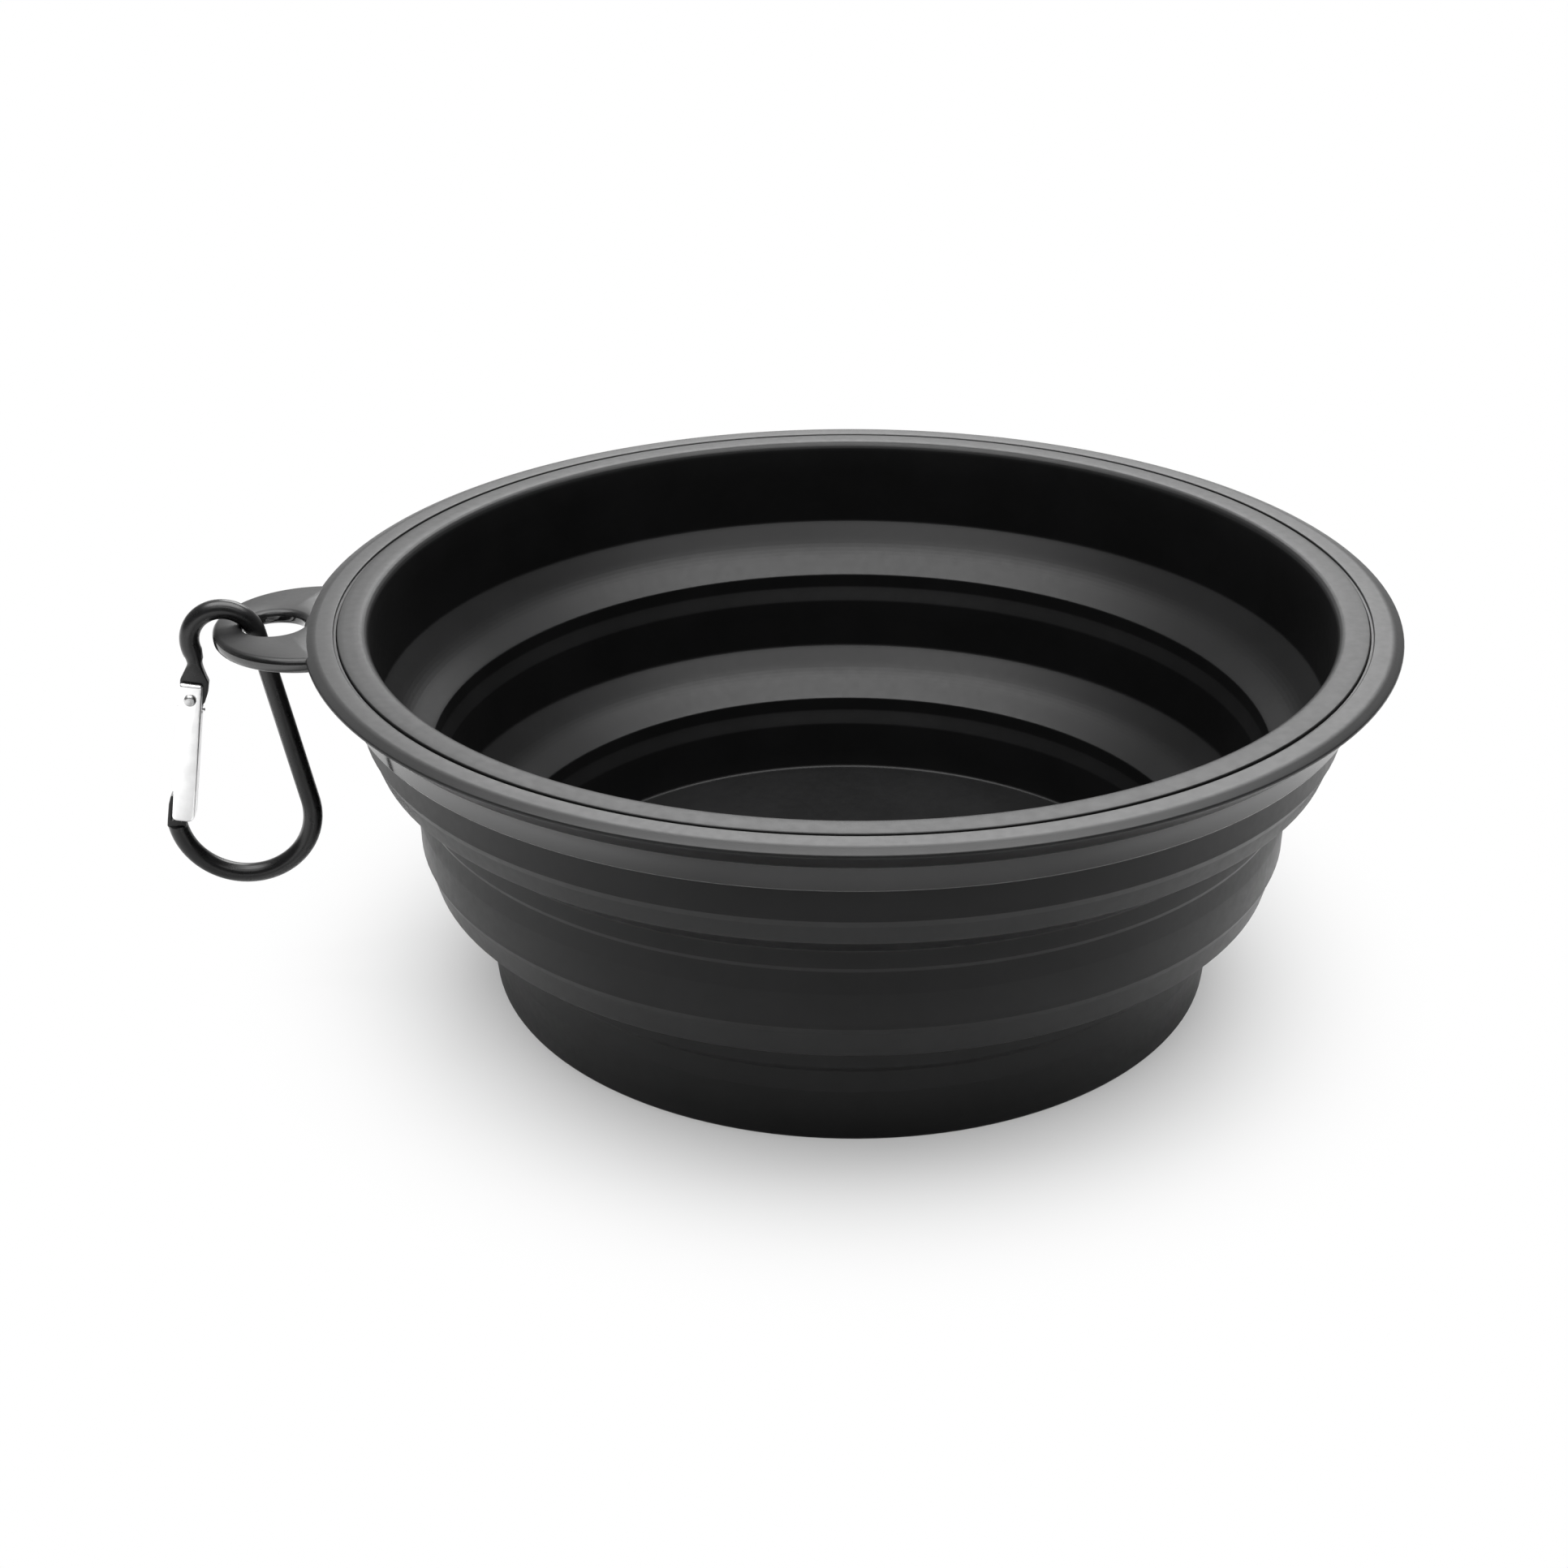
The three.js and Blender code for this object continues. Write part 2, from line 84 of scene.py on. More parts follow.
def turned_moulding_tree():
    """Rounds the corners of a profile, sweeps it round the axis and shades it smooth between its creases."""
    tree, given = new_shape_tree("turned_moulding", {
        "Profile": "Geometry", "Segments round": "Int", "Corner steps": "Int", "Cuts": "Int",
        "Rail radius": "Float", "Crease angle": "Float", "Finish": "Material"})
    corner = add(tree, "GeometryNodeInputRadius")
    rounded = add(tree, "GeometryNodeFilletCurve", {
        "Curve": given["Profile"], "Count": given["Corner steps"], "Radius": corner.outputs[0],
        "Limit Radius": True}, mode="POLY")
    divided = add(tree, "GeometryNodeSubdivideCurve", {"Curve": rounded.outputs[0], "Cuts": given["Cuts"]})
    inward = add(tree, "ShaderNodeMath", {0: given["Rail radius"], 1: -1}, operation="MULTIPLY")
    shift = add(tree, "ShaderNodeCombineXYZ", {"X": inward.outputs[0]})
    placed = add(tree, "GeometryNodeTransform", {
        "Geometry": divided.outputs[0], "Translation": shift.outputs[0], "Scale": (1, -1, 1)})
    rail = add(tree, "GeometryNodeCurvePrimitiveCircle", {
        "Resolution": given["Segments round"], "Radius": given["Rail radius"]})
    upright = add(tree, "GeometryNodeSetCurveNormal", {"Curve": rail.outputs["Curve"]}, mode="Z_UP")
    swept = add(tree, "GeometryNodeCurveToMesh", {
        "Curve": upright.outputs[0], "Profile Curve": placed.outputs[0]})
    welded = add(tree, "GeometryNodeMergeByDistance", {"Geometry": swept.outputs[0], "Distance": WELD * MM})
    smooth = add(tree, "GeometryNodeSetShadeSmooth", {"Geometry": welded.outputs[0]})
    bend = add(tree, "GeometryNodeInputMeshEdgeAngle")
    sharp = add(tree, "FunctionNodeCompare", {
        0: bend.outputs["Unsigned Angle"], 1: given["Crease angle"]}, operation="GREATER_THAN")
    creased = add(tree, "GeometryNodeSetShadeSmooth", {
        "Geometry": smooth.outputs[0], "Selection": sharp.outputs[0], "Shade Smooth": False}, domain="EDGE")
    end_shape_tree(tree, creased.outputs[0], given["Finish"])
    return tree


def shaped_by(holder, tree, **values):
    """Puts a tree on an object, with its inputs set by their identifiers."""
    modifier = holder.modifiers.new(tree.name, "NODES")
    modifier.node_group = tree
    for item in tree.interface.items_tree:
        label = item.name.replace(" ", "_").lower()
        if item.in_out == "INPUT" and label in values:
            modifier[item.identifier] = values[label]


def new_object(name, data):
    placed = bpy.data.objects.new(name, data)
    bpy.context.collection.objects.link(placed)
    return placed


def turn_outwards(shape):
    bmesh.ops.recalc_face_normals(shape, faces=shape.faces)
    if shape.calc_volume(signed=True) < 0:
        bmesh.ops.reverse_faces(shape, faces=shape.faces)


def plain_mesh(holder, name):
    """Turns an object with its modifiers into a new object with a plain mesh, faces outwards."""
    bpy.context.view_layer.update()
    mesh = bpy.data.meshes.new_from_object(holder.evaluated_get(bpy.context.evaluated_depsgraph_get()))
    bpy.data.objects.remove(holder)
    shape = bmesh.new()
    shape.from_mesh(mesh)
    turn_outwards(shape)
    shape.to_mesh(mesh)
    shape.free()
    mesh.name = name
    return new_object(name, mesh)


turned_tree = turned_moulding_tree()


def turned(name, profile, finish, around=144, corner_steps=5, cuts=2, closed=True):
    """A piece turned from a closed profile, or from an open one that starts and ends on the axis."""
    outline = bpy.data.curves.new(name + "_profile", "CURVE")
    outline.dimensions = "3D"
    spline = outline.splines.new("POLY")
    spline.points.add(len(profile) - 1)
    for spot, (radius, height, corner) in zip(spline.points, profile):
        spot.co = (radius * MM, height * MM, 0, 1)
        spot.radius = corner * MM
    spline.use_cyclic_u = closed
    holder = new_object(name + "_holder", outline)
    shaped_by(holder, turned_tree, segments_round=around, corner_steps=corner_steps, cuts=cuts,
              rail_radius=RAIL_RADIUS * MM, crease_angle=CREASE, finish=finish)
    return plain_mesh(holder, name)


NOISE_MIDDLE, TONE_STOPS = (0.3, 0.7), (0.35, 0.65)
RELIEF_HEIGHT = 0.02


def node_material(name, values):
    """A material with values on its shader, its node tree, and the object's own coordinates for patterns."""
    material = bpy.data.materials.new(name)
    material.use_nodes = True
    for label, value in values.items():
        material.node_tree.nodes["Principled BSDF"].inputs[label].default_value = value
    spot = add(material.node_tree, "ShaderNodeTexCoord").outputs["Object"]
    return material, material.node_tree, spot


def noise(tree, spot, size, detail=2.0):
    """Noise of about the given grain size in millimetres."""
    texture = add(tree, "ShaderNodeTexNoise", {"Vector": spot, "Scale": 1 / (size * MM), "Detail": detail})
    return texture.outputs["Fac"]


def ranged(tree, value, low, high, to_low, to_high, curve="LINEAR"):
    """Maps a value from one range to another. Each end may be a number or a socket."""
    mapped = add(tree, "ShaderNodeMapRange", {
        "Value": value, "From Min": low, "From Max": high, "To Min": to_low, "To Max": to_high},
        interpolation_type=curve)
    return mapped.outputs["Result"]


def spread(tree, pattern, low, high):
    """Spreads the middle of a noise pattern over a range, for a roughness."""
    return ranged(tree, pattern, *NOISE_MIDDLE, low, high)


def two_tones(tree, pattern, first, second):
    """Blends two colours over the middle of a noise pattern."""
    ramp = add(tree, "ShaderNodeValToRGB", {"Fac": pattern})
    for stop, position, colour in zip(ramp.color_ramp.elements, TONE_STOPS, (first, second)):
        stop.position = position
        stop.color = (*colour, 1)
    return ramp.outputs["Color"]


def dressed(material, colour, roughness, relief, strength):
    """Links patterns of colour, roughness and fine relief to a material's shader."""
    tree = material.node_tree
    bump = add(tree, "ShaderNodeBump", {
        "Height": relief, "Strength": strength, "Distance": RELIEF_HEIGHT * MM})
    patterns = {"Base Color": colour, "Roughness": roughness, "Normal": bump.outputs["Normal"]}
    for label, pattern in patterns.items():
        tree.links.new(pattern, tree.nodes["Principled BSDF"].inputs[label])
    return material


def silicone():
    material, tree, spot = node_material("black_silicone", {"Specular IOR Level": 0.22})
    colour = two_tones(tree, noise(tree, spot, 14, 3), (0.0044, 0.0044, 0.0045), (0.0062, 0.0062, 0.0064))
    roughness = spread(tree, noise(tree, spot, 1.5, 3), 0.40, 0.45)
    return dressed(material, colour, roughness, noise(tree, spot, 0.35), 0.10)


RIM_TOP, COLLAR_DEPTH = 65.7, 9.4
LIP_OUTSIDE, LIP_THICKNESS, LIP_ROUND = 84.35, 1.15, 1.6
UPPER_TOP, UPPER_FOOT = 49.7, 41.5
LOWER_TOP, LOWER_FOOT = 27.0, 19.5
MOUTH_RADIUS, MIDDLE_RADIUS, BASE_RADIUS = 79.3, 69.8, 59.5
UPPER_WALL, MIDDLE_WALL, BASE_WALL = 2.4, 3.9, 3.6
UPPER_SKIRT, LOWER_SKIRT = 3.9, 5.0
MIDDLE_LEDGE, BASE_LEDGE = 3.3, 5.3
LANDING, NECK_STEP, SAG = 1.1, 0.2, 0.6
WALL_CUT, CUT_INSET, HINGE_CUT, HINGE_DROP = 1.3, 0.18, 0.7, 0.3
SKIRT_INSET, SKIRT_SLOPE, SKIRT_LEAN, SKIRT_LAP = 0.2, 1.7, 0.55, 0.02
SKIRT_DROP, SKIRT_RISE = 0.6, 0.6
LEDGE_TAPER, LEDGE_BEVEL, LEDGE_WAIST = 4.5, 0.75, 0.1
NECK_DEPTH, SLOPE_DEPTH = 2.5, 5.1
FLOOR, FLOOR_FILLET, FOOT_INSET, FOOT_ROUND = 5.0, 0.6, 1.0, 1.1
FLOOR_RING, UNDERSIDE_RING = 50.0, 55.0


def wall_top(radius, wall, foot, ledge):
    """The top of a wall under a fold: ledge and neck outside, then neck and slope inside."""
    outside, neck, ledge_level = radius + wall, radius + wall + NECK_STEP, foot - ledge
    return [
        (outside, ledge_level - LEDGE_TAPER, 3),
        (outside - LEDGE_WAIST, ledge_level - LEDGE_BEVEL, 0.4),
        (neck, ledge_level, 0.2),
        (neck, foot - HINGE_CUT, 0),
        (radius + LANDING, foot - HINGE_CUT, 0),
        (radius + LANDING, foot - NECK_DEPTH, 1.0),
        (radius, foot - SLOPE_DEPTH, 1.2),
    ]


def fold(above, wall, top, skirt, below, wall_below, foot):
    """A fold from the cut in the wall above to the cut in the hinge below, with its skirt outside."""
    landing, hinge, outer = below + LANDING, below + wall_below + NECK_STEP, above + wall - SKIRT_INSET
    return [
        (landing, foot - HINGE_CUT, 0),
        (hinge, foot - HINGE_CUT, 0),
        (hinge, foot - HINGE_DROP, 0.5),
        (outer - SKIRT_SLOPE, top - skirt, 0.3),
        (outer - SKIRT_LEAN, top - SKIRT_DROP, 1.5),
        (outer + SKIRT_LAP, top + SKIRT_RISE, 0.25),
        (outer + SKIRT_LAP, top + WALL_CUT, 0),
        (above, top + WALL_CUT, 0),
        (above, top, 0.8),
        ((above + landing) / 2 + SAG, (top + foot) / 2 - SAG, 14),
        (landing, foot, 0.35),
    ]


soft_black = silicone()
upper_wall = turned("upper_wall_soft", [
    (MOUTH_RADIUS, UPPER_TOP + WALL_CUT, 0),
    (MOUTH_RADIUS + UPPER_WALL - CUT_INSET, UPPER_TOP + WALL_CUT, 0),
    (MOUTH_RADIUS + UPPER_WALL, RIM_TOP - COLLAR_DEPTH, 0),
    (MOUTH_RADIUS + UPPER_WALL, RIM_TOP - LIP_THICKNESS, 0.2),
    (LIP_OUTSIDE, RIM_TOP - LIP_THICKNESS, 0.15),
    (LIP_OUTSIDE, RIM_TOP, 0.25),
    (MOUTH_RADIUS, RIM_TOP, LIP_ROUND),
], soft_black)
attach(upper_wall, "rim")
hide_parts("upper_wall")

upper_fold = turned("upper_fold_soft", fold(
    MOUTH_RADIUS, UPPER_WALL, UPPER_TOP, UPPER_SKIRT, MIDDLE_RADIUS, MIDDLE_WALL, UPPER_FOOT),
    soft_black, cuts=5)
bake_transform(upper_fold)
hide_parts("upper_fold")

middle_wall = turned("middle_wall_soft", [
    (MIDDLE_RADIUS, LOWER_TOP + WALL_CUT, 0),
    (MIDDLE_RADIUS + MIDDLE_WALL - CUT_INSET, LOWER_TOP + WALL_CUT, 0),
    *wall_top(MIDDLE_RADIUS, MIDDLE_WALL, UPPER_FOOT, MIDDLE_LEDGE),
], soft_black)
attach(middle_wall, "middle")
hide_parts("middle_wall")

lower_fold = turned("lower_fold_soft", fold(
    MIDDLE_RADIUS, MIDDLE_WALL, LOWER_TOP, LOWER_SKIRT, BASE_RADIUS, BASE_WALL, LOWER_FOOT),
    soft_black, cuts=5)
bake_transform(lower_fold)
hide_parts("lower_fold")

base_cup = turned("base_cup_soft", [
    (0, 0, 0),
    (UNDERSIDE_RING, 0, 0),
    (BASE_RADIUS + BASE_WALL - FOOT_INSET, 0, FOOT_ROUND),
    *wall_top(BASE_RADIUS, BASE_WALL, LOWER_FOOT, BASE_LEDGE),
    (BASE_RADIUS, FLOOR, FLOOR_FILLET),
    (FLOOR_RING, FLOOR, 0),
    (0, FLOOR, 0),
], soft_black, closed=False)
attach(base_cup, "base")
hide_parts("base_cup")


# Rim ring: a rigid moulded ring with a collar that grips the upper wall and a flat flange round the lip.
# The hang tab is moulded in one with the flange: its ring of rounded sections runs into the flange's middle.
RIM_INSIDE, RIM_EDGE, COLLAR_OUTSIDE = 81.78, 89.95, 83.85
UNDERCUT_FOOT, UNDERCUT_DEPTH, COLLAR_DRAFT = 86.0, 4.4, 0.25
EDGE_DROP, EDGE_SLOPE = 0.7, 1.95
GROOVE_INSIDE, GROOVE_OUTSIDE, GROOVE_DEPTH, SEAT_DEPTH = 84.45, 84.85, 0.4, 1.4
POLISH_DEPTH, SATIN_DEPTH, UNDERCUT_FADE = 1.3, 0.5, (-0.1, 0.2)
TAB_CENTRE, TAB_RADIUS = -88.7, 16.0
HOLE_CENTRE, HOLE_RADIUS = -94.75, 5.05
TAB_DROP, TAB_THICKNESS, TAB_ROUND = 1.7, 2.6, 1.15
FLANGE_MIDDLE = 87.6
TAB_SECTIONS, SECTION_SIDES = 144, 28


def rim_plastic(name, undercut_roughness, undercut_specular):
    """Satin on the top face and polished below, with its own finish for the undercut above the collar."""
    material, tree, spot = node_material(name, {})
    height = add(tree, "ShaderNodeSeparateXYZ", {"Vector": spot}).outputs["Z"]
    undercut_start = [(RIM_TOP - UNDERCUT_DEPTH + step) * MM for step in UNDERCUT_FADE]
    top_start = [(RIM_TOP - depth) * MM for depth in (POLISH_DEPTH, SATIN_DEPTH)]

    def by_height(collar, undercut, top_face):
        below = ranged(tree, height, *undercut_start, collar, undercut)
        return ranged(tree, height, *top_start, below, top_face)

    specular = by_height(collar=0.7, undercut=undercut_specular, top_face=0.26)
    tree.links.new(specular, tree.nodes["Principled BSDF"].inputs["Specular IOR Level"])
    satin = spread(tree, noise(tree, spot, 1.2, 3), 0.38, 0.43)
    roughness = by_height(collar=0.09, undercut=undercut_roughness, top_face=satin)
    colour = two_tones(tree, noise(tree, spot, 11, 3), (0.0060, 0.0060, 0.0061), (0.0080, 0.0080, 0.0082))
    return dressed(material, colour, roughness, noise(tree, spot, 0.4), 0.06)


def smooth_by_angle(piece, degrees):
    piece.data.shade_smooth()
    piece.data.set_sharp_from_angle(angle=math.radians(degrees))


def mesh_of(shape, name):
    mesh = bpy.data.meshes.new(name)
    shape.to_mesh(mesh)
    shape.free()
    return mesh


def lofted(name, stations, finish, place, closed=False):
    """A skin through rounded sections that stand across a line in one plane, capped or closed to a ring.

    A station has its centre and outward direction, its outer and inner half widths, its half thickness and
    its corner radius.
    """
    skin = bmesh.new()
    rings = []
    for centre, outward, outer, inner, thick, corner in stations:
        middle, width = (outer - inner) / 2, (outer + inner) / 2
        ring = []
        for k in range(SECTION_SIDES):
            angle = 2 * math.pi * (k + 0.5) / SECTION_SIDES
            across = math.copysign(width - corner, math.cos(angle)) + corner * math.cos(angle)
            depth = math.copysign(thick - corner, math.sin(angle)) + corner * math.sin(angle)
            spot = centre + outward * (middle + across)
            ring.append(skin.verts.new((spot.x * MM, spot.y * MM, depth * MM)))
        rings.append(ring)
    for first, second in zip(rings, rings[1:] + rings[:1] if closed else rings[1:]):
        for k in range(SECTION_SIDES):
            after = (k + 1) % SECTION_SIDES
            skin.faces.new((first[k], first[after], second[after], second[k]))
    if not closed:
        skin.faces.new(rings[0][::-1])
        skin.faces.new(rings[-1])
    turn_outwards(skin)
    mesh = mesh_of(skin, name)
    mesh.transform(place)
    mesh.materials.append(finish)
    piece = new_object(name, mesh)
    smooth_by_angle(piece, degrees=38)
    return piece


rim_black = rim_plastic("black_rim_plastic", undercut_roughness=0.4, undercut_specular=0.08)
rim_ring = turned("rim_ring_plastic", [
    (RIM_INSIDE, RIM_TOP - COLLAR_DEPTH, 0.2),
    (COLLAR_OUTSIDE, RIM_TOP - COLLAR_DEPTH, 0.4),
    (COLLAR_OUTSIDE + COLLAR_DRAFT, RIM_TOP - UNDERCUT_DEPTH, 0.3),
    (UNDERCUT_FOOT, RIM_TOP - UNDERCUT_DEPTH, 0.2),
    (RIM_EDGE, RIM_TOP - EDGE_DROP, 0.35),
    (RIM_EDGE - EDGE_SLOPE, RIM_TOP, 3.0),
    (GROOVE_OUTSIDE, RIM_TOP, 0.25),
    (GROOVE_OUTSIDE, RIM_TOP - GROOVE_DEPTH, 0.05),
    (GROOVE_INSIDE, RIM_TOP - GROOVE_DEPTH, 0.05),
    (GROOVE_INSIDE, RIM_TOP - SEAT_DEPTH, 0.1),
    (RIM_INSIDE, RIM_TOP - SEAT_DEPTH, 0.1),
], rim_black, around=192, corner_steps=8, cuts=1)


def tab_stations():
    """Sections round the hole, out to the tab's round edge or to the middle of the flange."""
    stations = []
    for i in range(TAB_SECTIONS):
        angle = 2 * math.pi * i / TAB_SECTIONS
        spoke = Vector((math.cos(angle), math.sin(angle)))
        offset = HOLE_CENTRE - TAB_CENTRE
        reach = -offset * spoke.x + math.sqrt(TAB_RADIUS ** 2 - (offset * spoke.y) ** 2)
        inside = (HOLE_CENTRE * spoke.x) ** 2 - HOLE_CENTRE ** 2 + FLANGE_MIDDLE ** 2
        if inside > 0 and spoke.x > 0:
            reach = min(reach, -HOLE_CENTRE * spoke.x - math.sqrt(inside))
        half = (reach - HOLE_RADIUS) / 2
        centre = Vector((HOLE_CENTRE, 0)) + spoke * (HOLE_RADIUS + half)
        stations.append((centre, spoke, half, half, TAB_THICKNESS / 2, TAB_ROUND))
    return stations


tab_black = rim_plastic("black_tab_plastic", undercut_roughness=0.09, undercut_specular=0.7)
tab_place = Matrix.Translation((0, 0, (RIM_TOP - TAB_DROP) * MM))
hang_tab = lofted("hang_tab_plastic", tab_stations(), tab_black, tab_place, closed=True)
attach(hang_tab, "rim")
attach(rim_ring, "rim")
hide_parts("rim_ring")


# Clip frame: a bent metal rod with a black coat, hooked over the tab's outer bar.
# One end is pressed flat to a tongue that carries the gate, the other to a nose with a thin lip.
# Its sections are drawn flat, with x out from the bowl and y up from the tab's bar, and then stood up.
BAR_CENTRE, BAR_LEVEL = -102.5, 64.1
ROD = 3.25
HOOK_CENTRE, HOOK_RADIUS, HOOK_END = (0.6, -1.6), 5.512, -20
BOW_RADIUS, CLIP_SPAN, NOSE_ANGLE = 11.4, 31.8, -8
BOW_CENTRE = (HOOK_CENTRE[0], HOOK_CENTRE[1] - CLIP_SPAN)
TONGUE_TILT, TONGUE_LENGTH = math.radians(8.2), 7.9
NOSE_INSET, NOSE_SHIFT, NOSE_GAP, GATE_SHORT = 1.0, 0.62, 0.3, 1.3
HOOK_STEPS, SHANK_STEPS, BOW_STEPS = 40, 20, 56
clip_place = Matrix(((-1, 0, 0, BAR_CENTRE * MM), (0, 0, 1, 0), (0, 1, 0, BAR_LEVEL * MM), (0, 0, 0, 1)))


def black_coat():
    material, tree, spot = node_material("black_coated_metal", {"Specular IOR Level": 0.35})
    colour = two_tones(tree, noise(tree, spot, 3, 4), (0.0050, 0.0050, 0.0052), (0.0070, 0.0070, 0.0073))
    roughness = spread(tree, noise(tree, spot, 1.5, 3), 0.26, 0.32)
    return dressed(material, colour, roughness, noise(tree, spot, 0.25), 0.08)


def on_circle(centre, radius, degrees):
    angle = math.radians(degrees)
    return Vector((centre[0] + radius * math.cos(angle), centre[1] + radius * math.sin(angle)))


hook_end = on_circle(HOOK_CENTRE, HOOK_RADIUS, HOOK_END)
rivet_place = hook_end + TONGUE_LENGTH * Vector((math.sin(TONGUE_TILT), -math.cos(TONGUE_TILT)))
nose_end = on_circle(BOW_CENTRE, BOW_RADIUS, NOSE_ANGLE)
gate_line = Vector((nose_end.x - NOSE_INSET, nose_end.y)) - rivet_place
gate_tilt = math.atan2(gate_line.x, -gate_line.y)
gate_length = gate_line.length - GATE_SHORT
gate_out = Vector((math.cos(gate_tilt), math.sin(gate_tilt)))
gate_up = Vector((-math.sin(gate_tilt), math.cos(gate_tilt)))


def pressed_sections(shift, sections):
    """Flat sections across the gate's line: height from the rivet, then the widths as in a station."""
    return [(rivet_place + shift * gate_out + y * gate_up, gate_out, *widths) for y, *widths in sections]


def rod_sections(centres, angles):
    """Round sections of the rod, each facing out at its angle."""
    spokes = [on_circle((0, 0), 1, degrees) for degrees in angles]
    return [(centre, spoke, *[ROD / 2] * 4) for centre, spoke in zip(centres, spokes)]


def bent_rod(centre, radius, first, last, steps):
    """Round sections of the rod along an arc."""
    angles = [first + (last - first) * i / steps for i in range(steps + 1)]
    return rod_sections([on_circle(centre, radius, degrees) for degrees in angles], angles)


def frame_stations():
    """From the tongue over the hook, down the shank and round the bow to the nose."""
    tongue = pressed_sections(0, (
        (-1.9, 1.3, 1.3, 0.75, 0.2),
        (-1.85, 1.45, 1.5, 0.8, 0.2),
        (-0.6, 1.85, 2.3, 0.8, 0.2),
        (1.0, 1.9, 2.65, 0.8, 0.2),
        (2.9, 1.9, 2.7, 0.8, 0.2),
        (3.1, 1.9, 2.65, 0.8, 0.25),
        (4.0, 1.55, 2.2, 0.85, 0.3),
        (5.0, 1.2, 1.75, 0.95, 0.45),
        (5.7, 0.98, 1.5, 1.1, 0.6),
        (6.1, 0.95, 1.42, 1.25, 0.8),
        (6.5, 1.12, 1.4, 1.4, 1.05),
        (7.1, 1.45, 1.5, 1.55, 1.4),
    ))
    shank_angle = 180 - math.degrees(math.asin((BOW_RADIUS - HOOK_RADIUS) / CLIP_SPAN))
    hook = bent_rod(HOOK_CENTRE, HOOK_RADIUS, HOOK_END, shank_angle, HOOK_STEPS)
    bow = bent_rod(BOW_CENTRE, BOW_RADIUS, shank_angle, 360 + NOSE_ANGLE, BOW_STEPS)
    shares = [i / SHANK_STEPS for i in range(1, SHANK_STEPS)]
    hook_foot, bow_head = hook[-1][0], bow[0][0]
    shank = rod_sections([hook_foot.lerp(bow_head, share) for share in shares], [shank_angle] * len(shares))
    end = -gate_length - NOSE_GAP
    nose = pressed_sections(NOSE_SHIFT, (
        (end - 1.25, 2.1, 1.15, 1.55, 1.4),
        (end - 1.15, 2.05, 1.1, 1.0, 0.3),
        (end - 0.05, 2.05, 1.1, 1.0, 0.2),
        (end, 2.05, 1.05, 1.0, 0.2),
        (end + 0.02, 2.05, -1.35, 1.0, 0.2),
        (end + 3.0, 2.0, -1.4, 1.0, 0.2),
        (end + 4.3, 1.8, -1.4, 0.95, 0.15),
        (end + 4.6, 1.7, -1.42, 0.9, 0.12),
    ))
    return tongue + hook + shank + bow + nose


clip_frame = lofted("clip_frame_rod", frame_stations(), black_coat(), clip_place)
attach(clip_frame, "clip")
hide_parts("clip_frame")


# Clip gate: a bare bright bar with a fork over the tongue and a bore for the plunger and its spring.
# It is a plain extruded bar with tumbled edges, and the crimps that hold the spring stand out at both sides.
GATE_WIDTH, GATE_DEPTH, GATE_TOP = 3.8, 3.6, 2.7
GATE_FOOT_INSIDE, GATE_FOOT_OUTSIDE = 1.3, 0.9
TUMBLE_WIDTH, TUMBLE_STEPS, TUMBLE_ANGLE = 0.5, 4, math.radians(40)
SLOT_WIDTH, SLOT_FLOOR = 2.2, -2.9
BORE_RADIUS, BORE_LENGTH, RIVET_HOLE = 0.85, 12.0, 0.95
CRIMP_RADIUS, CRIMP_SIDE, CRIMP_HEIGHT, CRIMP_FRONT = 0.45, 1.86, -2.6, 0.8
PAST_BAR, LINE_STRETCH = 5.0, 0.08
gate_place = (clip_place @ Matrix.Translation((rivet_place.x * MM, rivet_place.y * MM, 0))
              @ Matrix.Rotation(gate_tilt, 4, "Z"))


def bright_metal(name, grain, dark, light):
    """Bare metal with fine upright lines."""
    material, tree, spot = node_material(name, {"Metallic": 1.0})
    colour = two_tones(tree, noise(tree, spot, 2.5, 3), (dark,) * 3, (light,) * 3)
    along = add(tree, "ShaderNodeMapping", {"Vector": spot, "Scale": (1, 1, LINE_STRETCH)}).outputs["Vector"]
    lines = noise(tree, along, grain)
    return dressed(material, colour, spread(tree, lines, 0.28, 0.42), lines, 0.06)


def flat_plate(name, outline, low, high):
    """A plate between two heights with the given outline, to keep or to cut with."""
    plate = bmesh.new()
    base = plate.faces.new([plate.verts.new((x * MM, y * MM, low * MM)) for x, y in outline])
    lifted = bmesh.ops.extrude_face_region(plate, geom=[base])
    top = [v for v in lifted["geom"] if isinstance(v, bmesh.types.BMVert)]
    bmesh.ops.translate(plate, verts=top, vec=(0, 0, (high - low) * MM))
    turn_outwards(plate)
    return new_object(name, mesh_of(plate, name))


def arc(x, y, radius, first, last, steps):
    angles = [math.radians(first + (last - first) * i / steps) for i in range(steps + 1)]
    return [(x + radius * math.cos(angle), y + radius * math.sin(angle)) for angle in angles]


def circle(radius, count):
    return arc(0, 0, radius, 0, 360, count)[:-1]


half_gate, gate_foot = GATE_WIDTH / 2, -gate_length
gate_bar = flat_plate("gate_holder", [
    (half_gate, GATE_TOP),
    (-half_gate, GATE_TOP),
    *arc(-half_gate + GATE_FOOT_INSIDE, gate_foot + GATE_FOOT_INSIDE, GATE_FOOT_INSIDE, 180, 270, 6),
    *arc(half_gate - GATE_FOOT_OUTSIDE, gate_foot + GATE_FOOT_OUTSIDE, GATE_FOOT_OUTSIDE, 270, 360, 6),
], -GATE_DEPTH / 2, GATE_DEPTH / 2)
tumbled = gate_bar.modifiers.new("tumbled", "BEVEL")
tumbled.width, tumbled.segments = TUMBLE_WIDTH * MM, TUMBLE_STEPS
tumbled.limit_method, tumbled.angle_limit = "ANGLE", TUMBLE_ANGLE

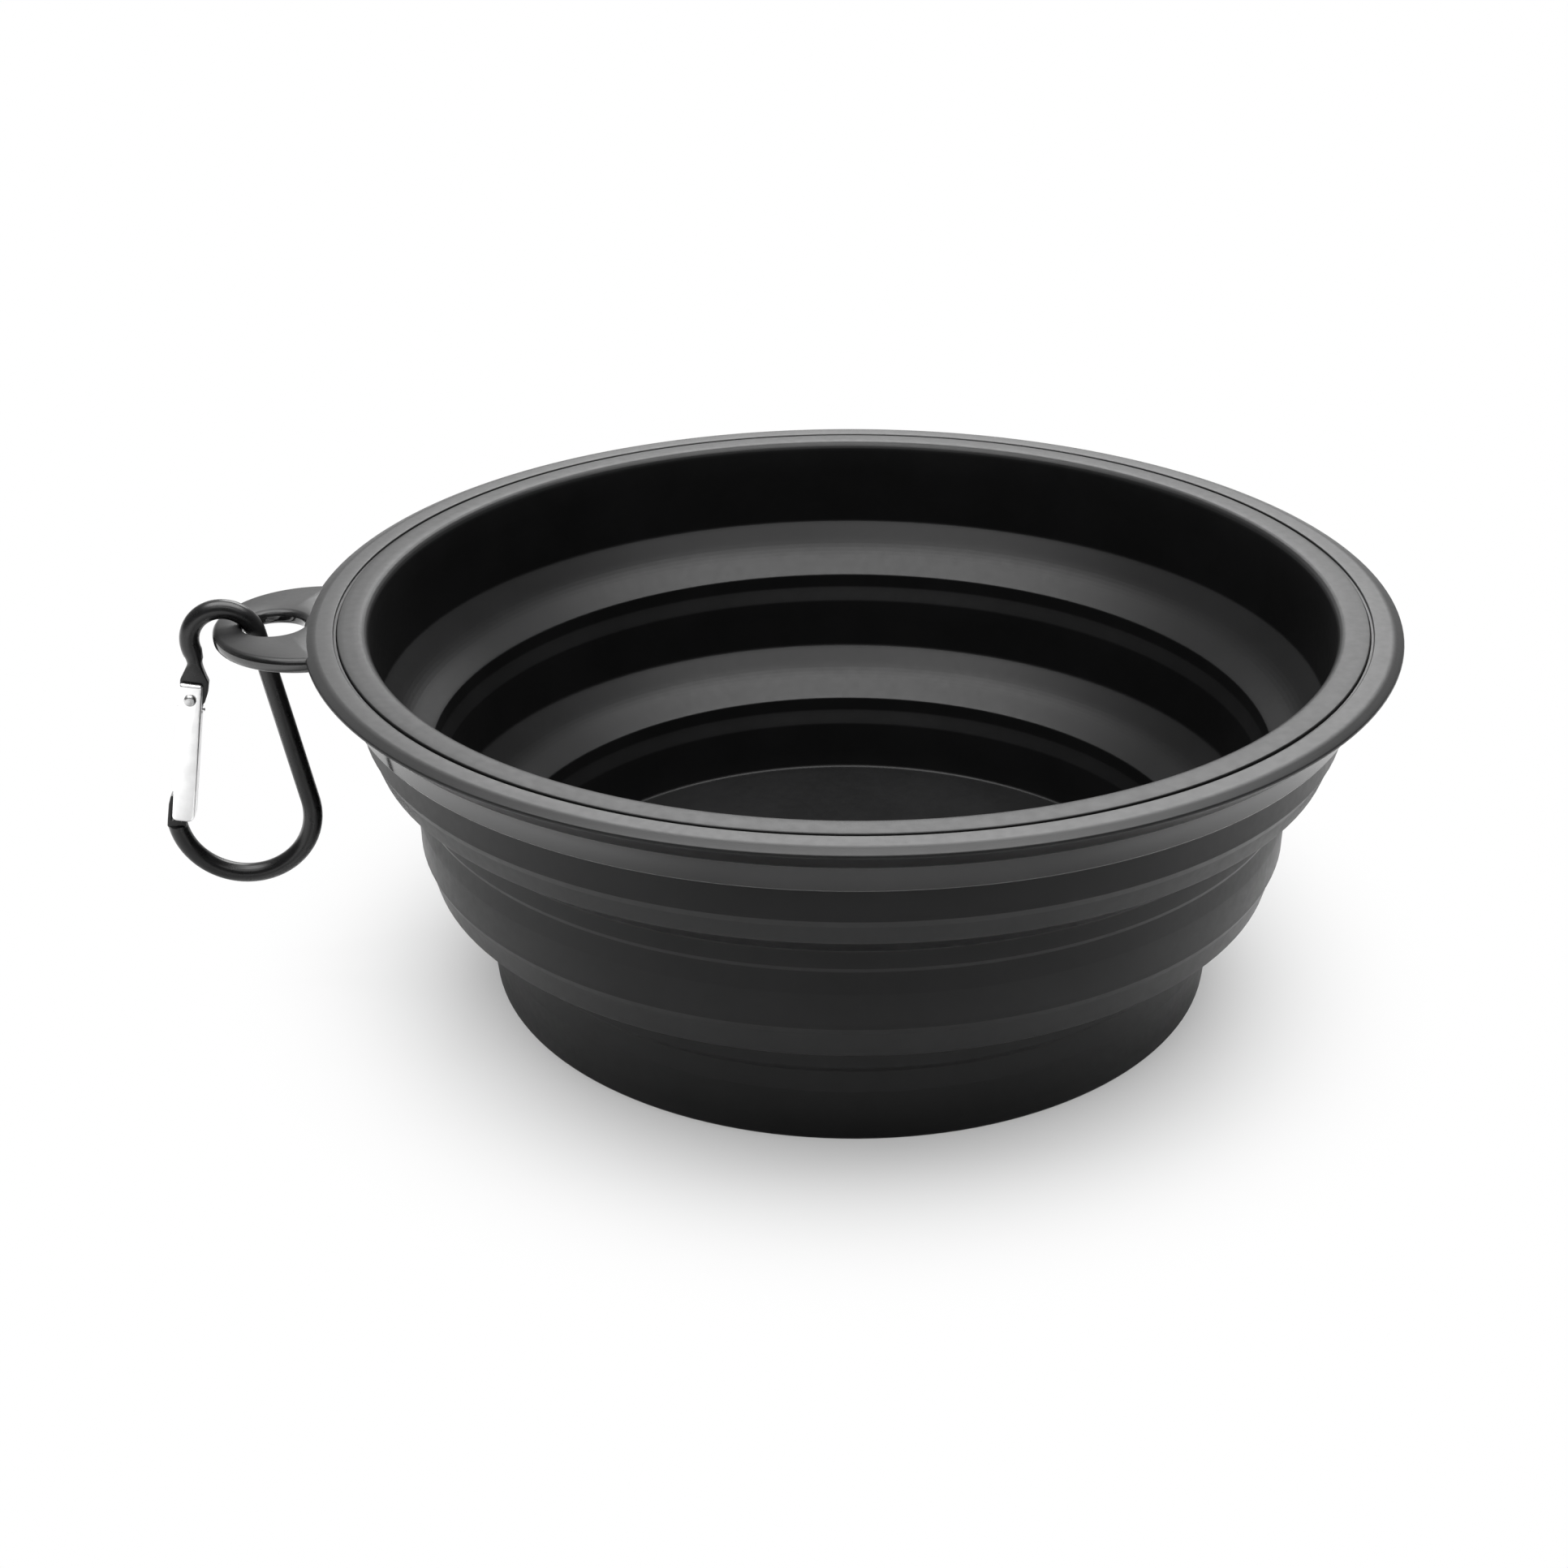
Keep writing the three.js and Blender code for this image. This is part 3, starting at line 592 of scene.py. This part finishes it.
slot_tool = flat_plate("slot_tool", [
    (-PAST_BAR, SLOT_FLOOR),
    (PAST_BAR, SLOT_FLOOR),
    (PAST_BAR, GATE_TOP + PAST_BAR),
    (-PAST_BAR, GATE_TOP + PAST_BAR),
], -SLOT_WIDTH / 2, SLOT_WIDTH / 2)
bore_tool = flat_plate("bore_tool", circle(BORE_RADIUS, count=24), 0, BORE_LENGTH)
bore_tool.data.transform(Matrix.Rotation(math.radians(90), 4, "X"))
rivet_tool = flat_plate("rivet_tool", circle(RIVET_HOLE, count=32), -PAST_BAR, PAST_BAR)
cutting_tools = (slot_tool, bore_tool, rivet_tool)
for tool in cutting_tools:
    cut = gate_bar.modifiers.new(tool.name, "BOOLEAN")
    cut.operation, cut.solver, cut.object = "DIFFERENCE", "EXACT", tool
clip_gate = plain_mesh(gate_bar, "clip_gate_bar")
for tool in cutting_tools:
    bpy.data.objects.remove(tool)
gate_metal = bright_metal("bright_gate_metal", grain=0.12, dark=0.84, light=0.92)
clip_gate.data.transform(gate_place)
clip_gate.data.materials.append(gate_metal)
smooth_by_angle(clip_gate, degrees=35)

crimps = bmesh.new()
for side in (-CRIMP_SIDE, CRIMP_SIDE):
    crimp_place = Matrix.Translation((side * MM, CRIMP_HEIGHT * MM, CRIMP_FRONT * MM))
    bmesh.ops.create_icosphere(crimps, subdivisions=3, radius=CRIMP_RADIUS * MM, matrix=crimp_place)
gate_crimps = new_object("gate_crimps", mesh_of(crimps, "gate_crimps"))
gate_crimps.data.transform(gate_place)
gate_crimps.data.materials.append(gate_metal)
gate_crimps.data.shade_smooth()
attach(gate_crimps, "gate")
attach(clip_gate, "gate")
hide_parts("clip_gate")


# Gate rivet: a short round pin through the fork and the tongue, headed over to a low dome at both ends.
# It is turned from bright metal and stays with the clip's frame.
rivet_half = [(0, 2.45, 0), (0.7, 2.35, 0.4), (1.2, 1.9, 0.15), (0.75, 1.85, 0)]
gate_rivet = turned("gate_rivet_pin", [
    *((radius, -height, corner) for radius, height, corner in rivet_half),
    *reversed(rivet_half),
], bright_metal("rivet_steel", grain=0.1, dark=0.42, light=0.50), around=32, closed=False)
gate_rivet.data.transform(gate_place)
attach(gate_rivet, "clip")
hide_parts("gate_rivet")


# Gate plunger and spring: a small steel pin and an open coil inside the gate's bore, out of sight.
# The plunger keeps its CAD solid and gets a new material. The coil is round wire wound on a spiral.
SPRING_TOP, SPRING_LENGTH, SPRING_TURNS = -5.7, 5.4, 7.0
SPRING_RADIUS, SPRING_WIRE = 0.5, 0.3
STEPS_A_TURN, WIRE_SIDES = 16, 10


def wound_coil_tree():
    """Sweeps a round wire along a spiral."""
    tree, given = new_shape_tree("wound_coil", {
        "Turns": "Float", "Coil radius": "Float", "Coil length": "Float", "Wire radius": "Float",
        "Finish": "Material"})
    spiral = add(tree, "GeometryNodeCurveSpiral", {
        "Resolution": STEPS_A_TURN, "Rotations": given["Turns"], "Start Radius": given["Coil radius"],
        "End Radius": given["Coil radius"], "Height": given["Coil length"]})
    section = add(tree, "GeometryNodeCurvePrimitiveCircle", {
        "Resolution": WIRE_SIDES, "Radius": given["Wire radius"]})
    wire = add(tree, "GeometryNodeCurveToMesh", {
        "Curve": spiral.outputs["Curve"], "Profile Curve": section.outputs["Curve"], "Fill Caps": True})
    end_shape_tree(tree, wire.outputs[0], given["Finish"])
    return tree


spring_steel = bright_metal("spring_steel", grain=0.08, dark=0.55, light=0.62)
plunger_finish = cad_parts["gate_plunger"].material_slots[0]
plunger_finish.link = "OBJECT"
plunger_finish.material = spring_steel

coil_holder = new_object("spring_holder", bpy.data.meshes.new("spring_holder"))
shaped_by(coil_holder, wound_coil_tree(), finish=spring_steel, turns=SPRING_TURNS,
          coil_radius=SPRING_RADIUS * MM, coil_length=(SPRING_LENGTH - SPRING_WIRE) * MM,
          wire_radius=SPRING_WIRE / 2 * MM)
gate_spring = plain_mesh(coil_holder, "gate_spring_coil")
gate_spring.data.transform(gate_place @ Matrix.Translation((0, (SPRING_TOP - SPRING_WIRE / 2) * MM, 0))
                           @ Matrix.Rotation(math.radians(90), 4, "X"))
smooth_by_angle(gate_spring, degrees=50)
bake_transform(gate_spring)
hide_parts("gate_spring")


# Stage: a plain white floor that keeps a soft shadow, a white backdrop, three soft studio lamps, and the
# camera at the photograph's viewing angle. The camera sees floor and backdrop as white. In the bowl's
# reflections the floor carries painted shade near the bowl and painted light at both sides, and the backdrop
# is dimmer in some directions and brighter in others. Distances are in metres, the camera's in millimetres.
STAGE_HALF = 3.0
SHADOW_MIRRORED, SHADOW_STRAIGHT = (0.100, 0.118), (0.03, 0.11)
# Painted light and shade on the floor, seen only in reflections: lighter lit paint, white dimmed towards the
# bowl, white brightened at both sides.
MIRRORED_PAINTED_LIGHT, PAINT_STRAIGHT = 0.98, 0.55
PAINTED_SHADE_REACH, PAINTED_SHADE_WHITE = (0.11, 0.17), (0.35, 0.85)
PAINTED_LIGHT_SIDES, PAINTED_LIGHT_GAIN = (0.07, 0.17), (1.0, 2.2)
BACKDROP_TURN, BACKDROP_WHITE = (-0.75, 0.95), (0.12, 0.95)
BACKDROP_SIDES, BACKDROP_SHARE = (0.2, 0.7), (1.0, 0.5)
ROOM_LIGHT = 0.05
SENSOR, FOCAL_PIXELS, PHOTO_PIXELS = 36.0, 2957.44, 1932
CAMERA_DISTANCE, CAMERA_RISE, BOWL_TURN = 400.0, math.radians(22.185), math.radians(-6.6)
YAW, PITCH, ROLL = math.radians(-1.755), math.radians(26.645), math.radians(-0.482)


def maths(tree, operation, *values):
    return add(tree, "ShaderNodeMath", dict(enumerate(values)), operation=operation).outputs[0]


def seen_rays(tree):
    """The camera's own rays, and those together with mirrored and transmitted rays."""
    rays = add(tree, "ShaderNodeLightPath").outputs
    indirect = maths(tree, "MAXIMUM", rays["Is Glossy Ray"], rays["Is Transmission Ray"])
    return rays["Is Camera Ray"], maths(tree, "MAXIMUM", rays["Is Camera Ray"], indirect)


def floor_paint():
    """Lit paint near the bowl for its shadow, and white further out. In reflections the lit paint is painted
    lighter, and the white is painted shade towards the bowl and painted light at both sides.
    """
    material = bpy.data.materials.new("white_floor")
    material.use_nodes = True
    tree = material.node_tree
    tree.nodes.clear()
    spot = add(tree, "ShaderNodeTexCoord").outputs["Object"]
    distance = add(tree, "ShaderNodeVectorMath", {0: spot}, operation="LENGTH").outputs["Value"]
    aside = maths(tree, "ABSOLUTE", add(tree, "ShaderNodeSeparateXYZ", {"Vector": spot}).outputs["X"])
    camera_rays, seen = seen_rays(tree)

    def seen_as(mirrored, straight):
        return ranged(tree, camera_rays, 0, 1, mirrored, straight)

    # Painted shade: in reflections the floor's white is dimmer towards the bowl.
    painted_shade_ramp = ranged(tree, distance, *PAINTED_SHADE_REACH, *PAINTED_SHADE_WHITE)
    # Painted light: in reflections the floor's white is brighter at both sides.
    sides = ranged(tree, aside, *PAINTED_LIGHT_SIDES, *PAINTED_LIGHT_GAIN, "SMOOTHSTEP")
    fade = ranged(tree, distance, *map(seen_as, SHADOW_MIRRORED, SHADOW_STRAIGHT), 0, 1, "SMOOTHSTEP")
    # Painted light: in reflections the lit paint is lighter than the camera sees it.
    lit = add(tree, "ShaderNodeBsdfDiffuse", {"Color": seen_as(MIRRORED_PAINTED_LIGHT, PAINT_STRAIGHT)})
    white = add(tree, "ShaderNodeEmission", {"Strength": seen_as(maths(tree, "MULTIPLY", painted_shade_ramp, sides), 1)})
    mix = add(tree, "ShaderNodeMixShader", {
        "Fac": maths(tree, "MULTIPLY", fade, seen), 1: lit.outputs[0], 2: white.outputs[0]})
    add(tree, "ShaderNodeOutputMaterial", {"Surface": mix.outputs[0]})
    return material


def studio_backdrop():
    """White to the camera; in reflections brightest behind the bowl, and a dim light on everything else."""
    world = bpy.data.worlds.new("studio")
    world.use_nodes = True
    tree = world.node_tree
    way = add(tree, "ShaderNodeTexCoord").outputs["Generated"]
    across, back, _ = add(tree, "ShaderNodeSeparateXYZ", {"Vector": way}).outputs
    camera_rays, seen = seen_rays(tree)
    behind = ranged(tree, back, *BACKDROP_TURN, *BACKDROP_WHITE, "SMOOTHSTEP")
    sides = ranged(tree, maths(tree, "ABSOLUTE", across), *BACKDROP_SIDES, *BACKDROP_SHARE, "SMOOTHSTEP")
    shown = maths(tree, "MAXIMUM", maths(tree, "MULTIPLY", behind, sides), camera_rays)
    background = tree.nodes["Background"]
    background.inputs["Color"].default_value = (1, 1, 1, 1)
    tree.links.new(ranged(tree, seen, 0, 1, ROOM_LIGHT, shown), background.inputs["Strength"])
    return world


def soft_lamp(name, place, aim, width, height, watts):
    lamp = bpy.data.lights.new(name, "AREA")
    lamp.shape = "RECTANGLE"
    lamp.size, lamp.size_y, lamp.energy = width, height, watts
    holder = new_object(name, lamp)
    holder.location = place
    holder.rotation_mode = "QUATERNION"
    holder.rotation_quaternion = (Vector(aim) - Vector(place)).to_track_quat("-Z", "Y")


floor_mesh = bpy.data.meshes.new("floor")
floor_corners = [(x * STAGE_HALF, y * STAGE_HALF, 0) for x, y in ((-1, -1), (1, -1), (1, 1), (-1, 1))]
floor_mesh.from_pydata(floor_corners, [], [(0, 1, 2, 3)])
floor_mesh.materials.append(floor_paint())
new_object("floor", floor_mesh)
bpy.context.scene.world = studio_backdrop()
soft_lamp("overhead", place=(0, -0.02, 1.0), aim=(0, 0, 0.03), width=1.3, height=0.75, watts=25)
soft_lamp("behind", place=(0.22, 1.1, 0.87), aim=(0, 0, 0.05), width=0.9, height=0.6, watts=13.5)
soft_lamp("front_fill", place=(-0.1, -0.75, 0.9), aim=(0, 0, 0.03), width=1.0, height=0.3, watts=3)

turn = Matrix.Rotation(BOWL_TURN, 3, "Z")
right = Vector((math.cos(YAW), -math.sin(YAW), 0))
ahead = Vector((math.sin(YAW) * math.cos(PITCH), math.cos(YAW) * math.cos(PITCH), -math.sin(PITCH)))
up = right.cross(ahead)
level_right = math.cos(ROLL) * right + math.sin(ROLL) * up
level_up = -math.sin(ROLL) * right + math.cos(ROLL) * up
axes = turn @ Matrix((level_right, level_up, -ahead)).transposed()
from_rim = CAMERA_DISTANCE * (turn @ Vector((0, -math.cos(CAMERA_RISE), math.sin(CAMERA_RISE))))
camera_data = bpy.data.cameras.new("camera")
camera_data.sensor_width = SENSOR
camera_data.lens = SENSOR * FOCAL_PIXELS / PHOTO_PIXELS
camera = new_object("camera", camera_data)
camera.matrix_world = Matrix.Translation((from_rim + Vector((0, 0, RIM_TOP))) * MM) @ axes.to_4x4()
bpy.context.scene.camera = camera
bpy.context.scene.view_settings.view_transform = "Standard"
